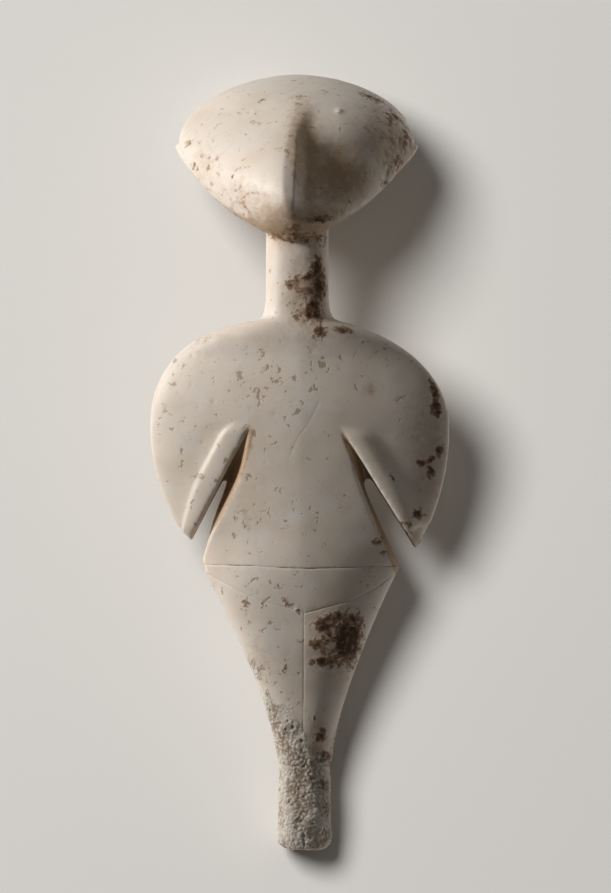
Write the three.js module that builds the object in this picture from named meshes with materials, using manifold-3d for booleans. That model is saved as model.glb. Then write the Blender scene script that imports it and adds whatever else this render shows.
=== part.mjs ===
// Marble stargazer figurine: a flat standing body with flipper arms, legs joined and tapering to small
// feet, a slim neck and a broad oval head tilted back to look at the sky. It is carved from one block,
// and lies on its back, held by the crown of the head and the heels. Millimetres, +Z up.
//
// The figure is shaped as if standing in its own frame: x to the viewer's right, y from the soles to the
// crown, z out of the chest, with the neck's axis on x = 0, z = 0. laidDown() then tips it on its back.

import * as THREE from 'three';
import { LoftGeometry } from 'three/addons/geometries/LoftGeometry.js';
import { mergeVertices } from 'three/addons/utils/BufferGeometryUtils.js';
import Module from 'manifold-3d';

// driving dimensions
const height = 172.2; // soles to crown
const shoulderWidth = 66.3;
const shoulderLevel = 93; // where the shoulders are widest
const shoulderTop = 117.4; // where they meet the neck
const shoulderRound = { left: 2.38, right: 2.02 }; // 2 is an oval, above it the shoulder is squarer
const hipWidth = 44.2;
const hipLevel = 62.9; // the sharp corner of the hips
const ankleWidth = 10.9;
const ankleLevel = 17;
const footWidth = 11.7;
const soleRound = 2.2;
const neckWidth = 13.8;
const neckFillet = 3; // how far the neck widens where it leaves the shoulders
const armTipLevel = { left: 69, right: 67.4 };
const armTipReach = { left: 24.8, right: 26.4 }; // from the middle line to the point of the arm
const armFall = { left: 0.0129, right: 0.01 }; // how fast the arm's outer edge curves in below the shoulder
const armTipRun = 3; // the arm's edge bends in to its point over this height
const legCurve = 1.43; // 1 would make the legs' outline straight
const headWidth = 52.6;
const headDepth = 57.4; // nose side to crown, front to back
const chinLevel = 134.5;
const templeLevel = 157; // where the head is widest
const headOutline = { arch: 1.85, jaw: 1.47 }; // 2 is an oval above and below the temples
const noseBridge = 165.5;
const noseFoot = 138.5;
const noseReach = 2.9; // the nose's ridge bows out this far to the viewer's left of the middle
const noseWidth = 2.9; // its front, to the right of the ridge
const noseFall = 0.14; // fall of the front to the right, for each millimetre
const noseFlank = 1.6; // and of its right side
const noseTrough = 2.6; // how far the right cheek lies below the left one beside the nose
// the face is a low roof about the ridge: 1 would make a cheek flat, 2 round
const cheeks = {
	left: { low: 1.3, high: 1.8, from: 163, to: 170 },
	right: { low: 1.36, high: 2.1, from: 153, to: 166 },
};
const chinTuck = 6; // how far the lower face turns under towards the chin
const tuckBelow = 151;
const jawRound = 0.35; // how much rounder both become at the chin
const earLength = 8;
const earProud = 1.2;
const earDrop = 0.8; // from the temples down to the ear's square top
const earInset = 2;
const earHalfDepth = 3.2;
const earBack = 2.2; // how far its middle lies behind the head's
const legLean = 1; // the feet stand this far to the viewer's right of the shoulders
const neckLean = 0.65; // and the neck this far to the left of them
const chinLean = 0.9; // the head is turned a little, with its chin further left again
const restFlat = 0.7; // depth ground off crown and heels where they touch the ground

// front and back of the body, measured from the neck's axis, at named levels from sole to neck
const depthAt = [
	{ name: 'sole', y: 0, front: 6.9, back: 5.5 },
	{ name: 'instep', y: 6, front: 7.1, back: 5.8 },
	{ name: 'ankle', y: 18, front: 5.3, back: 5.4 },
	{ name: 'knee', y: 31, front: 6.2, back: 6.4 },
	{ name: 'thigh', y: 48, front: 7.9, back: 8.0 },
	{ name: 'hip', y: 62, front: 8.7, back: 9.0 },
	{ name: 'waist', y: 76, front: 8.5, back: 7.0 },
	{ name: 'chest', y: 96, front: 8.7, back: 6.6 },
	{ name: 'collar', y: 113, front: 7.3, back: 6.6 },
	{ name: 'neck', y: 120, front: 6.3, back: 6.4 },
	{ name: 'nape', y: 147, front: 6.1, back: 6.3 },
];

// how square a level cut is: 2 is an oval, less makes a soft ridge down the middle, more makes it flat
const fullness = {
	back: { legs: 2.1, trunk: 2.4, neck: 2.4 },
	left: { legs: 2.9, trunk: 1.5, neck: 2.6 },
	right: { legs: 2, trunk: 1.55, neck: 2.4 },
};

const bodyColumns = 42;
const headColumns = 48;
const headCrowding = 0.62; // 0 spaces the head's columns evenly, 1 brings them all to the nose

const clamp = THREE.MathUtils.clamp;
const smoothstep = THREE.MathUtils.smoothstep;
const signedPower = ( value, power ) => Math.sign( value ) * Math.abs( value ) ** power;

// value of one column of the table of levels, eased from each level to the next
function depth( y, side ) {

	const above = clamp( depthAt.findIndex( ( level ) => level.y >= y ), 1, depthAt.length - 1 );
	const low = depthAt[ above - 1 ];
	const high = depthAt[ above ];
	const t = clamp( ( y - low.y ) / ( high.y - low.y ), 0, 1 );
	return THREE.MathUtils.lerp( low[ side ], high[ side ], t * t * ( 3 - 2 * t ) );

}

// the middle line, which wanders a little as hand carving does
function middleLine( y ) {

	const legs = legLean * ( 1 - smoothstep( y, 10, 90 ) );
	const neck = neckLean * smoothstep( y, 105, 120 );
	return legs - neck;

}

// half width of legs, arms, shoulders and neck on one side, as one outline from sole to nape
function bodyHalfWidth( y, side ) {

	if ( y < soleRound ) {

		return footWidth / 2 - soleRound + Math.sqrt( soleRound ** 2 - ( soleRound - y ) ** 2 );

	}

	if ( y < ankleLevel ) {

		const bulge = Math.sin( Math.PI * ( y - soleRound ) / ( ankleLevel - soleRound ) );
		return THREE.MathUtils.lerp( footWidth, ankleWidth, y / ankleLevel ) / 2 + 0.1 * bulge;

	}

	if ( y < hipLevel ) {

		const rise = ( y - ankleLevel ) / ( hipLevel - ankleLevel );
		return ( ankleWidth + ( hipWidth - ankleWidth ) * rise ** legCurve ) / 2;

	}

	const tipLevel = armTipLevel[ side ];
	const tipReach = armTipReach[ side ];
	const armEdge = ( level ) => shoulderWidth / 2 - armFall[ side ] * ( shoulderLevel - level ) ** 2;

	if ( y < tipLevel ) {

		const rise = ( y - hipLevel ) / ( tipLevel - hipLevel );
		return THREE.MathUtils.lerp( hipWidth / 2, tipReach, rise );

	}

	if ( y < shoulderLevel ) {

		const bend = 1 - smoothstep( y, tipLevel, tipLevel + armTipRun );
		return armEdge( y ) - ( armEdge( tipLevel ) - tipReach ) * bend;

	}

	// the round of the shoulder and the flare of the neck melt into each other
	const rise = Math.min( 1, ( y - shoulderLevel ) / ( shoulderTop - shoulderLevel ) );
	const power = shoulderRound[ side ];
	const shoulder = shoulderWidth / 2 * ( 1 - rise ** power ) ** ( 1 / power );
	const flare = neckFillet * Math.exp( - Math.max( 0, y - shoulderTop + 1.5 ) / 1.6 );
	return ( shoulder ** 5 + ( neckWidth / 2 + flare ) ** 5 ) ** 0.2;

}

// one level cut of a form: a rounded oblong whose roundness may differ behind, on the left and on the right
function levelCut( y, middle, halfWidths, front, back, roundness, columns ) {

	const [ left, right ] = halfWidths;
	const centre = ( front - back ) / 2;
	const reach = ( front + back ) / 2;
	const points = [];

	for ( let i = 0; i < columns; i ++ ) {

		const angle = - 2 * Math.PI * i / columns;
		const inFront = Math.cos( angle ) < 0 ? roundness.left : roundness.right;
		const power = 2 / ( Math.sin( angle ) < 0 ? roundness.back : inFront );
		const across = signedPower( Math.cos( angle ), power );
		const out = signedPower( Math.sin( angle ), power );
		const x = middle + across * ( across < 0 ? left : right );
		points.push( new THREE.Vector3( x, y, centre + reach * out ) );

	}

	return points;

}

// evenly eased levels between two heights
function levels( from, to, count, ease = ( t ) => t ) {

	return Array.from( { length: count + 1 }, ( _, i ) => from + ( to - from ) * ease( i / count ) );

}

const evenlyRound = ( power ) => ( { back: power, left: power, right: power } );

const easeOut = ( t ) => Math.sin( t * Math.PI / 2 );
const easeBoth = ( t ) => ( 1 - Math.cos( t * Math.PI ) ) / 2;

// the levels are closer together where the outline turns: soles, hips, arm tips and the neck's foot
const bodyLevels = [
	...levels( 0, soleRound, 2, ( t ) => t ** 1.6 ),
	...levels( 4, ankleLevel, 4 ),
	...levels( 20, 60, 13 ),
	61.8, hipLevel, 64.2,
	...levels( 66, 72, 4 ),
	...levels( 74, shoulderLevel, 7 ),
	...levels( shoulderLevel + 3, shoulderTop, 14, easeOut ),
	...levels( shoulderTop + 0.5, shoulderTop + 4, 5 ),
	...levels( 125, 146, 3 ),
];

// roundness of the level cuts at a level: that of the legs, trunk or neck, eased from one to the next
function bodyRoundness( y ) {

	const round = ( { legs, trunk, neck } ) =>
		legs + ( trunk - legs ) * smoothstep( y, 48, 72 ) + ( neck - trunk ) * smoothstep( y, 108, 119 );
	return { back: round( fullness.back ), left: round( fullness.left ), right: round( fullness.right ) };

}

function bodyLoft() {

	const sections = bodyLevels.map( ( y ) => {

		const widths = [ bodyHalfWidth( y, 'left' ), bodyHalfWidth( y, 'right' ) ];
		const [ front, back ] = [ depth( y, 'front' ), depth( y, 'back' ) ];
		return levelCut( y, middleLine( y ), widths, front, back, bodyRoundness( y ), bodyColumns );

	} );

	return new LoftGeometry( sections, { capStart: true, capEnd: true } );

}

// the head is cut level by level too: its outline from the front is a low arch over the temples and a
// rounded V below them, and each level lies further back than the one under it
const headMiddle = ( chinLevel + height ) / 2;
const headReach = ( height - chinLevel ) / 2;
const headCentreDepth = - 10.8;
const headSlope = 1.02; // how far back the head goes for each millimetre up

const headMiddleLine = ( y ) => - neckLean - chinLean * ( 1 - smoothstep( y, chinLevel, templeLevel + 4 ) );

function headHalfWidth( y ) {

	const above = y > templeLevel;
	const end = above ? height : chinLevel;
	const power = above ? headOutline.arch : headOutline.jaw;
	const rise = ( y - templeLevel ) / ( end - templeLevel );
	return headWidth / 2 * Math.max( 0, 1 - rise ** power ) ** ( 1 / power );

}

function headFrontBack( y ) {

	const up = ( y - headMiddle ) / headReach;
	const slope = headSlope * headReach;
	const thick = Math.sqrt( ( headDepth / 2 ) ** 2 - slope ** 2 ) * Math.sqrt( Math.max( 0, 1 - up ** 2 ) );
	const centre = headCentreDepth - slope * up;
	return { front: centre + thick, back: thick - centre };

}

const headLevels = levels( chinLevel, height, 30, easeBoth ).slice( 1, - 1 );

// front of the head at a place across the face: the cheeks fall from the ridge of the nose to the outline,
// and the nose is a narrow slab over them with a steep right side
function faceDepth( across, y ) {

	const { front, back } = headFrontBack( y );
	const reach = ( front + back ) / 2;
	const halfWidth = headHalfWidth( y );
	const t = clamp( ( y - noseFoot ) / ( noseBridge - noseFoot ), 0, 1 );
	const swell = Math.sin( Math.PI * t ** 0.8 ) ** 0.8;
	const ridge = - noseReach * swell;
	const fromRidge = across - ridge;
	const { low, high, from, to } = fromRidge < 0 ? cheeks.left : cheeks.right;
	const jaw = jawRound * ( 1 - smoothstep( y, chinLevel + 2, chinLevel + 10 ) );
	const power = THREE.MathUtils.lerp( low, high, smoothstep( y, from, to ) ) + jaw;
	const run = halfWidth + ( fromRidge < 0 ? ridge : - ridge ); // from the ridge to the outline
	const u = clamp( Math.abs( fromRidge ) / run, 0, 1 );
	const trough = smoothstep( fromRidge, 1.5, 5 ) * ( 1 - smoothstep( fromRidge, 8, 21 ) );
	const cheek = reach * ( 1 - u ** power ) ** ( 1 / power ) - noseTrough * swell * trough;
	const beyond = Math.max( 0, fromRidge - noseWidth * swell );
	const slab = reach - noseFall * fromRidge - noseFlank * beyond;
	const face = fromRidge > 0 && swell > 0 ? Math.max( cheek, slab ) : cheek;
	const under = clamp( ( tuckBelow - y ) / ( tuckBelow - chinLevel ), 0, 1 ) ** 2;
	return ( front - back ) / 2 + face * clamp( 1 - chinTuck * under / reach, 0.3, 1 );

}

// the columns of the head crowd together at the middle of the face, where the nose is
function headLoft() {

	const sections = headLevels.map( ( y ) => {

		const { front, back } = headFrontBack( y );
		const halfWidth = headHalfWidth( y );
		const middle = headMiddleLine( y );

		return Array.from( { length: headColumns }, ( _, i ) => {

			const even = Math.PI / 2 - 2 * Math.PI * i / headColumns;
			const angle = even + headCrowding * Math.cos( even );
			const across = halfWidth * Math.cos( angle );
			const behind = ( front - back ) / 2 + ( front + back ) / 2 * Math.sin( angle );
			const out = Math.sin( angle ) > 0.01 ? faceDepth( across, y ) : behind;
			return new THREE.Vector3( middle + across, y, out );

		} );

	} );

	return new LoftGeometry( sections, { capStart: true, capEnd: true } );

}

// a small ear tab: a ridge with a square top that runs out down the edge of the head
function earLoft( side ) {

	const top = templeLevel - earDrop;
	const earLevels = headLevels.filter( ( y ) => y > top - earLength && y < top - 0.2 );
	const sections = [ ...earLevels, top ].map( ( y ) => {

		const { front, back } = headFrontBack( y );
		const halfWidth = earInset + earProud * ( 1 - ( top - y ) / earLength );
		const middle = headMiddleLine( y ) + side * ( headHalfWidth( y ) - earInset );
		const centre = ( front - back ) / 2 - earBack;
		const widths = [ halfWidth, halfWidth ];
		return levelCut( y, middle, widths, centre + earHalfDepth, earHalfDepth - centre, evenlyRound( 2.4 ), 10 );

	} );

	return new LoftGeometry( sections, { capStart: true, capEnd: true } );

}

// each slit opens from the armpit down, between the inner edge of the arm and the side of the torso.
// Its edges are given as distances from the middle line, at so many millimetres below the armpit:
// the arm's edge, the torso's edge at the front, and the torso's edge deep in the slit
const slits = {
	left: {
		sign: - 1,
		armpit: 93.4,
		arm: ( down ) => 11.2 + 0.53 * down,
		torso: ( down ) => 9.9 + 0.06 * down ** 1.6,
		torsoDeep: ( down ) => 8.4 + 0.85 * down - 0.0148 * down ** 2,
	},
	right: {
		sign: 1,
		armpit: 92.2,
		arm: ( down ) => 9.6 + 0.635 * down,
		torso: ( down ) => 8.6 + 0.39 * down,
		torsoDeep: ( down ) => 9 + 0.45 * down,
	},
};

const slitRun = 32; // length of a slit, past the arm's point
const slitTop = 10; // the cutter starts this far outside the neck's axis, clear of the stone
const slitStart = 7; // depth level that the cutter reaches to at the armpit
const slitDrop = 9; // how much deeper it goes further down, past the middle of the stone
const slitFloor = 0.3; // least width of the cutter's deep edge
const armUndercut = 0.7; // how far the arm's wall leans in

// the slit starts as a groove and soon cuts right through; face is 1 from the front and -1 from behind
function slitCutter( { sign, armpit, arm, torso, torsoDeep }, face ) {

	const sections = levels( 0.2, slitRun, 9, ( t ) => t ** 1.3 ).reverse().map( ( down ) => {

		const deep = slitStart - slitDrop * smoothstep( down, 0, 15.5 );
		const through = smoothstep( down, 4, 14 );
		const armDeep = arm( down ) - armUndercut * through;
		const narrow = armDeep - slitFloor;
		const floor = Math.min( narrow, THREE.MathUtils.lerp( narrow, torsoDeep( down ), through ) );
		const corners = [
			[ torso( down ) - 0.4, slitTop ],
			[ arm( down ) + 0.3, slitTop ],
			[ armDeep, deep ],
			[ floor, deep ],
		];
		const points = corners.map( ( [ x, z ] ) => new THREE.Vector3( sign * x, armpit - down, z * face ) );
		return sign * face > 0 ? points : points.reverse();

	} );

	return new LoftGeometry( sections, { capStart: true, capEnd: true } );

}

const forearm = { thin: 0.8, thick: 2.6, proud: 0.5, sunk: 3 }; // half widths, and heights off the surface

// the forearm: a rounded roll along the inner edge of each arm, narrowing to the arm's point
function forearmLoft( { sign, armpit, arm } ) {

	const side = sign < 0 ? 'left' : 'right';
	const forearmLevels = bodyLevels.filter( ( y ) => y > armTipLevel[ side ] + 1 && y < armpit );
	const round = bodyRoundness( 90 )[ side ];
	const sections = forearmLevels.map( ( y ) => {

		const inner = arm( armpit - y );
		const outer = bodyHalfWidth( y, side );
		const taper = smoothstep( armpit + 1 - y, 0, 6 );
		const full = THREE.MathUtils.lerp( forearm.thin, forearm.thick, taper );
		const radius = Math.min( full, ( outer - inner ) / 2 - 0.2 );
		const x = inner + radius;
		const surface = depth( y, 'front' ) * Math.max( 0, 1 - ( x / outer ) ** round ) ** ( 1 / round );
		const front = surface + forearm.proud;
		return levelCut( y, sign * x, [ radius, radius ], front, forearm.sunk - surface, evenlyRound( 2 ), 12 );

	} );

	return new LoftGeometry( sections, { capStart: true, capEnd: true } );

}

const wasm = await Module();
wasm.setup();

function solid( geometry ) {

	const bare = new THREE.BufferGeometry();
	bare.setAttribute( 'position', geometry.attributes.position );
	bare.setIndex( geometry.index );
	const merged = mergeVertices( bare, 1e-4 );
	return new wasm.Manifold( new wasm.Mesh( {
		numProp: 3,
		vertProperties: new Float32Array( merged.attributes.position.array ),
		triVerts: new Uint32Array( merged.index.array ),
	} ) );

}

function figure() {

	let form = solid( bodyLoft() );

	for ( const slit of Object.values( slits ) ) {

		form = form.add( solid( forearmLoft( slit ) ) );
		form = form.subtract( solid( slitCutter( slit, 1 ) ) );
		form = form.subtract( solid( slitCutter( slit, - 1 ) ) );

	}

	return form.add( solid( headLoft() ) ).add( solid( earLoft( - 1 ) ) ).add( solid( earLoft( 1 ) ) );

}

// lowest point that a stretch of the figure would have if the whole were tipped back by an angle
function lowest( positions, angle, isPart ) {

	let low = Infinity;

	for ( let i = 0; i < positions.count; i ++ ) {

		const [ y, z ] = [ positions.getY( i ), positions.getZ( i ) ];
		if ( isPart( y ) ) low = Math.min( low, y * Math.sin( angle ) + z * Math.cos( angle ) );

	}

	return low;

}

// tips the figure back until crown and heels touch the ground together, and grinds a small flat on each
function laidDown( geometry ) {

	const positions = geometry.attributes.position;
	let small = 0;
	let large = 0.5;

	for ( let i = 0; i < 20; i ++ ) {

		const angle = ( small + large ) / 2;
		const crown = lowest( positions, angle, ( y ) => y > chinLevel );
		const heels = lowest( positions, angle, ( y ) => y < ankleLevel );
		if ( crown < heels ) small = angle;
		else large = angle;

	}

	geometry.rotateX( small );
	geometry.computeBoundingBox();
	const { min, max } = geometry.boundingBox;
	geometry.translate( - ( min.x + max.x ) / 2, - ( min.y + max.y ) / 2, - min.z - restFlat );
	const ground = new THREE.BoxGeometry( 200, 400, 20 ).translate( 0, 0, - 10 );
	return solid( geometry ).subtract( solid( ground ) );

}

function toGeometry( form ) {

	const { vertProperties, triVerts } = form.getMesh();
	const geometry = new THREE.BufferGeometry();
	geometry.setAttribute( 'position', new THREE.BufferAttribute( vertProperties, 3 ) );
	geometry.setIndex( new THREE.BufferAttribute( triVerts, 1 ) );
	geometry.computeVertexNormals();
	return geometry;

}

const marble = new THREE.MeshStandardMaterial( { color: 0xd9cdbb, roughness: 0.45, metalness: 0 } );
const figurine = new THREE.Mesh( toGeometry( laidDown( toGeometry( figure() ) ) ), marble );
figurine.name = 'figurine';

const group = new THREE.Group();
group.add( figurine );

export default group;
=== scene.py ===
import math
from itertools import product

import bmesh
import bpy
import numpy as np
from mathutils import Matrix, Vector


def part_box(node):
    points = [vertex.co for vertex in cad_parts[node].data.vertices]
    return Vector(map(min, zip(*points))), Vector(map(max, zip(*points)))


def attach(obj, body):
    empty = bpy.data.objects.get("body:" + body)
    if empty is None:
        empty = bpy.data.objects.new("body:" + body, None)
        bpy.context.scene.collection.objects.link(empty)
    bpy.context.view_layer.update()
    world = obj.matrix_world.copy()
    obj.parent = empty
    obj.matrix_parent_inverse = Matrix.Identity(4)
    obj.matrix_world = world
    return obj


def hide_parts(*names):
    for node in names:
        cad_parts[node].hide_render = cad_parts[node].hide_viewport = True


# A marble stargazer figurine lying on its back. It is shaped standing, in millimetres: x to the viewer's
# right, y from the soles to the crown, z out of the chest. makeStone() then tips it back into the frame.

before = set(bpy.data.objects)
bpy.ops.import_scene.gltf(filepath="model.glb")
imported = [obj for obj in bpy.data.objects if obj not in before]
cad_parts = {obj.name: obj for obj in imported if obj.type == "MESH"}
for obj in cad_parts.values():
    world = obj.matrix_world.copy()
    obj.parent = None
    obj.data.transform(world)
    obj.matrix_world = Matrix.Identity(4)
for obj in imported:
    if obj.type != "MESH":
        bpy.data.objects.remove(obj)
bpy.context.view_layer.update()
lowCorner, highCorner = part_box("figurine")
print("frame loaded")


def easeStep(value, start, end):
    # 0 before start, 1 after end, and a smooth S in between
    t = np.clip((value - start) / (end - start), 0, 1)
    return t * t * (3 - 2 * t)


def signedPower(value, power):
    return np.sign(value) * np.abs(value) ** power


def easedTable(y, levels, values):
    # reads a short table of levels, easing from each value to the next
    levels = np.asarray(levels, float)
    values = np.asarray(values, float)
    upper = np.clip(np.searchsorted(levels, y), 1, len(levels) - 1)
    t = easeStep(y, levels[upper - 1], levels[upper])
    return values[upper - 1] * (1 - t) + values[upper] * t


# large primes that mix a lattice cell's three numbers into one
cellPrimes = np.array([73856093, 19349663, 83492791])


def latticeNoise(points, seed):
    # random values on a unit lattice, mixed by eased distance to the eight corners round each point
    cell = np.floor(points).astype(np.int64)
    t = points - cell
    t = t * t * (3 - 2 * t)
    total = np.zeros(len(points))
    for corner in product((0, 1), repeat=3):
        key = (cell + corner) @ cellPrimes + seed * 2654435
        key = (key ^ (key >> 13)) * 1274126177
        value = ((key >> 8) & 0xFFFF) / 32767.5 - 1
        total += value * np.prod(np.where(corner, t, 1 - t), axis=1)
    return total


def cloudNoise(points, size, octaves=3, seed=1):
    # lattice noise summed at halving sizes and halving strengths, about -1 to 1
    total = np.zeros(len(points))
    for octave in range(octaves):
        total += 0.5 ** octave * latticeNoise(points * 2 ** octave / size + 17.3 * octave, seed + octave)
    return total


bodyForm = {
    "shoulderWidth": 66.3, "shoulderLevel": 93, "shoulderTop": 117.4,
    "shoulderRound": (2.38, 2.02),  # left, right: 2 is an oval, above it the shoulder is squarer
    "armFall": (0.0129, 0.0100),    # how fast the arm's outer edge curves in below the shoulder
    "armTipLevel": (69, 67.4), "armTipReach": (24.8, 26.4), "armTipEase": 3,
    "hipWidth": 44.2, "hipLevel": 62.9, "legCurve": 1.43,
    "ankleWidth": 10.9, "ankleLevel": 17, "footWidth": 11.7, "footBulge": 0.1, "soleRound": 2.2,
    "neckWidth": 13.8, "neckFillet": 3, "filletDrop": 1.5, "filletRun": 1.6,
    "neckBlend": 5,                 # the higher, the sharper the turn from shoulder to neck
    "legLean": 1, "legLeanEnds": (10, 90), "neckLean": 0.65, "neckLeanEnds": (105, 120),
    # depth in front of and behind the neck's axis, from sole to nape
    "levels": (0, 6, 18, 31, 48, 62, 76, 96, 113, 120, 147),
    "front": (6.9, 7.1, 5.3, 6.2, 7.9, 8.7, 8.5, 8.7, 7.3, 6.3, 6.1),
    "back": (5.5, 5.8, 5.4, 6.4, 8.0, 9.0, 7.0, 6.6, 6.6, 6.4, 6.3),
    # how square a level cut is at the legs, trunk and neck: 2 is an oval, less makes a soft ridge down the
    # middle, more makes it flat
    "fullness": {"back": (2.1, 2.4, 2.4), "left": (2.9, 1.5, 2.6), "right": (2.0, 1.55, 2.4)},
    "legsToTrunk": (48, 72), "trunkToNeck": (108, 119),
    "soleRows": (0, 0.15, 0.5, 1, 1.6), "rowGap": 0.7, "collar": (112, 119), "collarGap": 0.3,
    "neckGap": 1.0, "columns": 190,
}


def bodyMiddle(y):
    # the middle line wanders a little: the legs stand to the right of the neck
    legs = bodyForm["legLean"] * (1 - easeStep(y, *bodyForm["legLeanEnds"]))
    return legs - bodyForm["neckLean"] * easeStep(y, *bodyForm["neckLeanEnds"])


def bodyHalfWidth(y, side):
    # outline on one side (0 left, 1 right): foot, leg taper, arm edge, round of the shoulder, neck
    f = bodyForm
    foot, ankle = f["footWidth"] / 2, f["ankleWidth"] / 2
    hip, shoulder = f["hipWidth"] / 2, f["shoulderWidth"] / 2
    squared = f["soleRound"] ** 2 - (f["soleRound"] - y) ** 2
    sole = foot - f["soleRound"] + np.sqrt(np.clip(squared, 0, None))
    bulge = np.sin(np.pi * np.clip((y - f["soleRound"]) / (f["ankleLevel"] - f["soleRound"]), 0, 1))
    instep = foot + (ankle - foot) * y / f["ankleLevel"] + f["footBulge"] * bulge
    upLeg = np.clip((y - f["ankleLevel"]) / (f["hipLevel"] - f["ankleLevel"]), 0, 1)
    leg = ankle + (hip - ankle) * upLeg ** f["legCurve"]
    tipLevel, tipReach = f["armTipLevel"][side], f["armTipReach"][side]
    flank = hip + (tipReach - hip) * (y - f["hipLevel"]) / (tipLevel - f["hipLevel"])
    atTip = shoulder - f["armFall"][side] * (f["shoulderLevel"] - tipLevel) ** 2 - tipReach
    arm = shoulder - f["armFall"][side] * (f["shoulderLevel"] - y) ** 2
    arm = arm - atTip * (1 - easeStep(y, tipLevel, tipLevel + f["armTipEase"]))
    rise = np.clip((y - f["shoulderLevel"]) / (f["shoulderTop"] - f["shoulderLevel"]), 0, 1)
    power = f["shoulderRound"][side]
    slope = shoulder * (1 - rise ** power) ** (1 / power)
    upNeck = np.clip(y - f["shoulderTop"] + f["filletDrop"], 0, None)
    neck = f["neckWidth"] / 2 + f["neckFillet"] * np.exp(-upNeck / f["filletRun"])
    top = (slope ** f["neckBlend"] + neck ** f["neckBlend"]) ** (1 / f["neckBlend"])
    levels = (f["soleRound"], f["ankleLevel"], f["hipLevel"], tipLevel, f["shoulderLevel"])
    return np.select([y < level for level in levels], [sole, instep, leg, flank, arm], top)


def bodySurface():
    # level cuts from sole to nape, each a rounded oblong: x runs with a power of the cosine of an angle
    # round the cut and z with a power of its sine
    f = bodyForm
    collar, nape = f["collar"]
    y = np.concatenate([f["soleRows"], np.arange(f["soleRound"], collar, f["rowGap"]),
                        np.arange(collar, nape, f["collarGap"]),
                        np.arange(nape, f["levels"][-1], f["neckGap"])])[:, None]
    angle = np.linspace(0, -2 * np.pi, f["columns"], endpoint=False)[None, :]
    behind, left = np.sin(angle) < 0, np.cos(angle) < 0
    kinds = f["fullness"]
    legs, trunk, neck = (np.where(behind, back, np.where(left, onLeft, onRight))
                         for back, onLeft, onRight in zip(kinds["back"], kinds["left"], kinds["right"]))
    power = 2 / (legs + (trunk - legs) * easeStep(y, *f["legsToTrunk"])
                 + (neck - trunk) * easeStep(y, *f["trunkToNeck"]))
    across = signedPower(np.cos(angle), power)
    out = signedPower(np.sin(angle), power)
    front = easedTable(y, f["levels"], f["front"])
    back = easedTable(y, f["levels"], f["back"])
    x = bodyMiddle(y) + across * np.where(across < 0, bodyHalfWidth(y, 0), bodyHalfWidth(y, 1))
    return x, y + 0 * x, (front - back) / 2 + (front + back) / 2 * out


headForm = {
    "width": 52.6, "depth": 57.4, "chin": 134.5, "temple": 157, "crown": 172.2,
    "middleDepth": -10.8, "slope": 1.02,  # how far back the head goes for each millimetre up
    "archPower": 1.85, "jawPower": 1.47,  # outline above and below the temples
    "chinLean": 0.9, "leanRun": 4,
    # the face is a low roof: 1 would make its cheeks flat, 2 round
    "leftCheek": 1.3, "leftBrow": 1.8, "leftEase": (163, 170),
    "rightCheek": 1.36, "rightBrow": 2.1, "rightEase": (153, 166),
    "jawRound": 0.35, "jawEase": (2, 10),
    # the nose's left edge is the ridge of the roof, its front falls gently to the right, then drops
    "noseFoot": 138.5, "noseBridge": 165.5, "noseSwell": 0.8, "noseLeft": 2.9, "noseWidth": 2.9,
    "noseStep": 0.12, "noseFall": 0.14, "noseFlank": 1.6, "noseBack": 4, "noseEnd": 0.06, "noseEndDrop": 3,
    "noseBlend": 0.02,                # the higher, the softer the nose's edges
    "noseLeastReach": 4,              # no nose where the head is thinner than this
    "noseTrough": 2.6, "troughStart": (1.5, 5), "troughEnd": (8, 21),
    "chinTuck": 6, "tuckBelow": 156,  # the lower face turns under towards the chin
    "tuckLeast": 0.3,
    "rows": 150, "columns": 300, "crowding": 0.55,
}


def headMiddle(y):
    f = headForm
    return -bodyForm["neckLean"] - f["chinLean"] * (1 - easeStep(y, f["chin"], f["temple"] + f["leanRun"]))


def headHalfWidth(y):
    # low arch over the temples, rounded V below them
    f = headForm
    above = y > f["temple"]
    power = np.where(above, f["archPower"], f["jawPower"])
    rise = (y - f["temple"]) / (np.where(above, f["crown"], f["chin"]) - f["temple"])
    return f["width"] / 2 * np.clip(1 - np.clip(rise, 0, 1) ** power, 0, None) ** (1 / power)


def headCentreAndReach(y):
    # side view: an oval leaning back, so each level lies further back than the one under it
    f = headForm
    half = (f["crown"] - f["chin"]) / 2
    up = (y - f["chin"] - half) / half
    widest = math.sqrt((f["depth"] / 2) ** 2 - (f["slope"] * half) ** 2)
    reach = widest * np.sqrt(np.clip(1 - up ** 2, 0, None))
    return f["middleDepth"] - f["slope"] * half * up, reach


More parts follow.
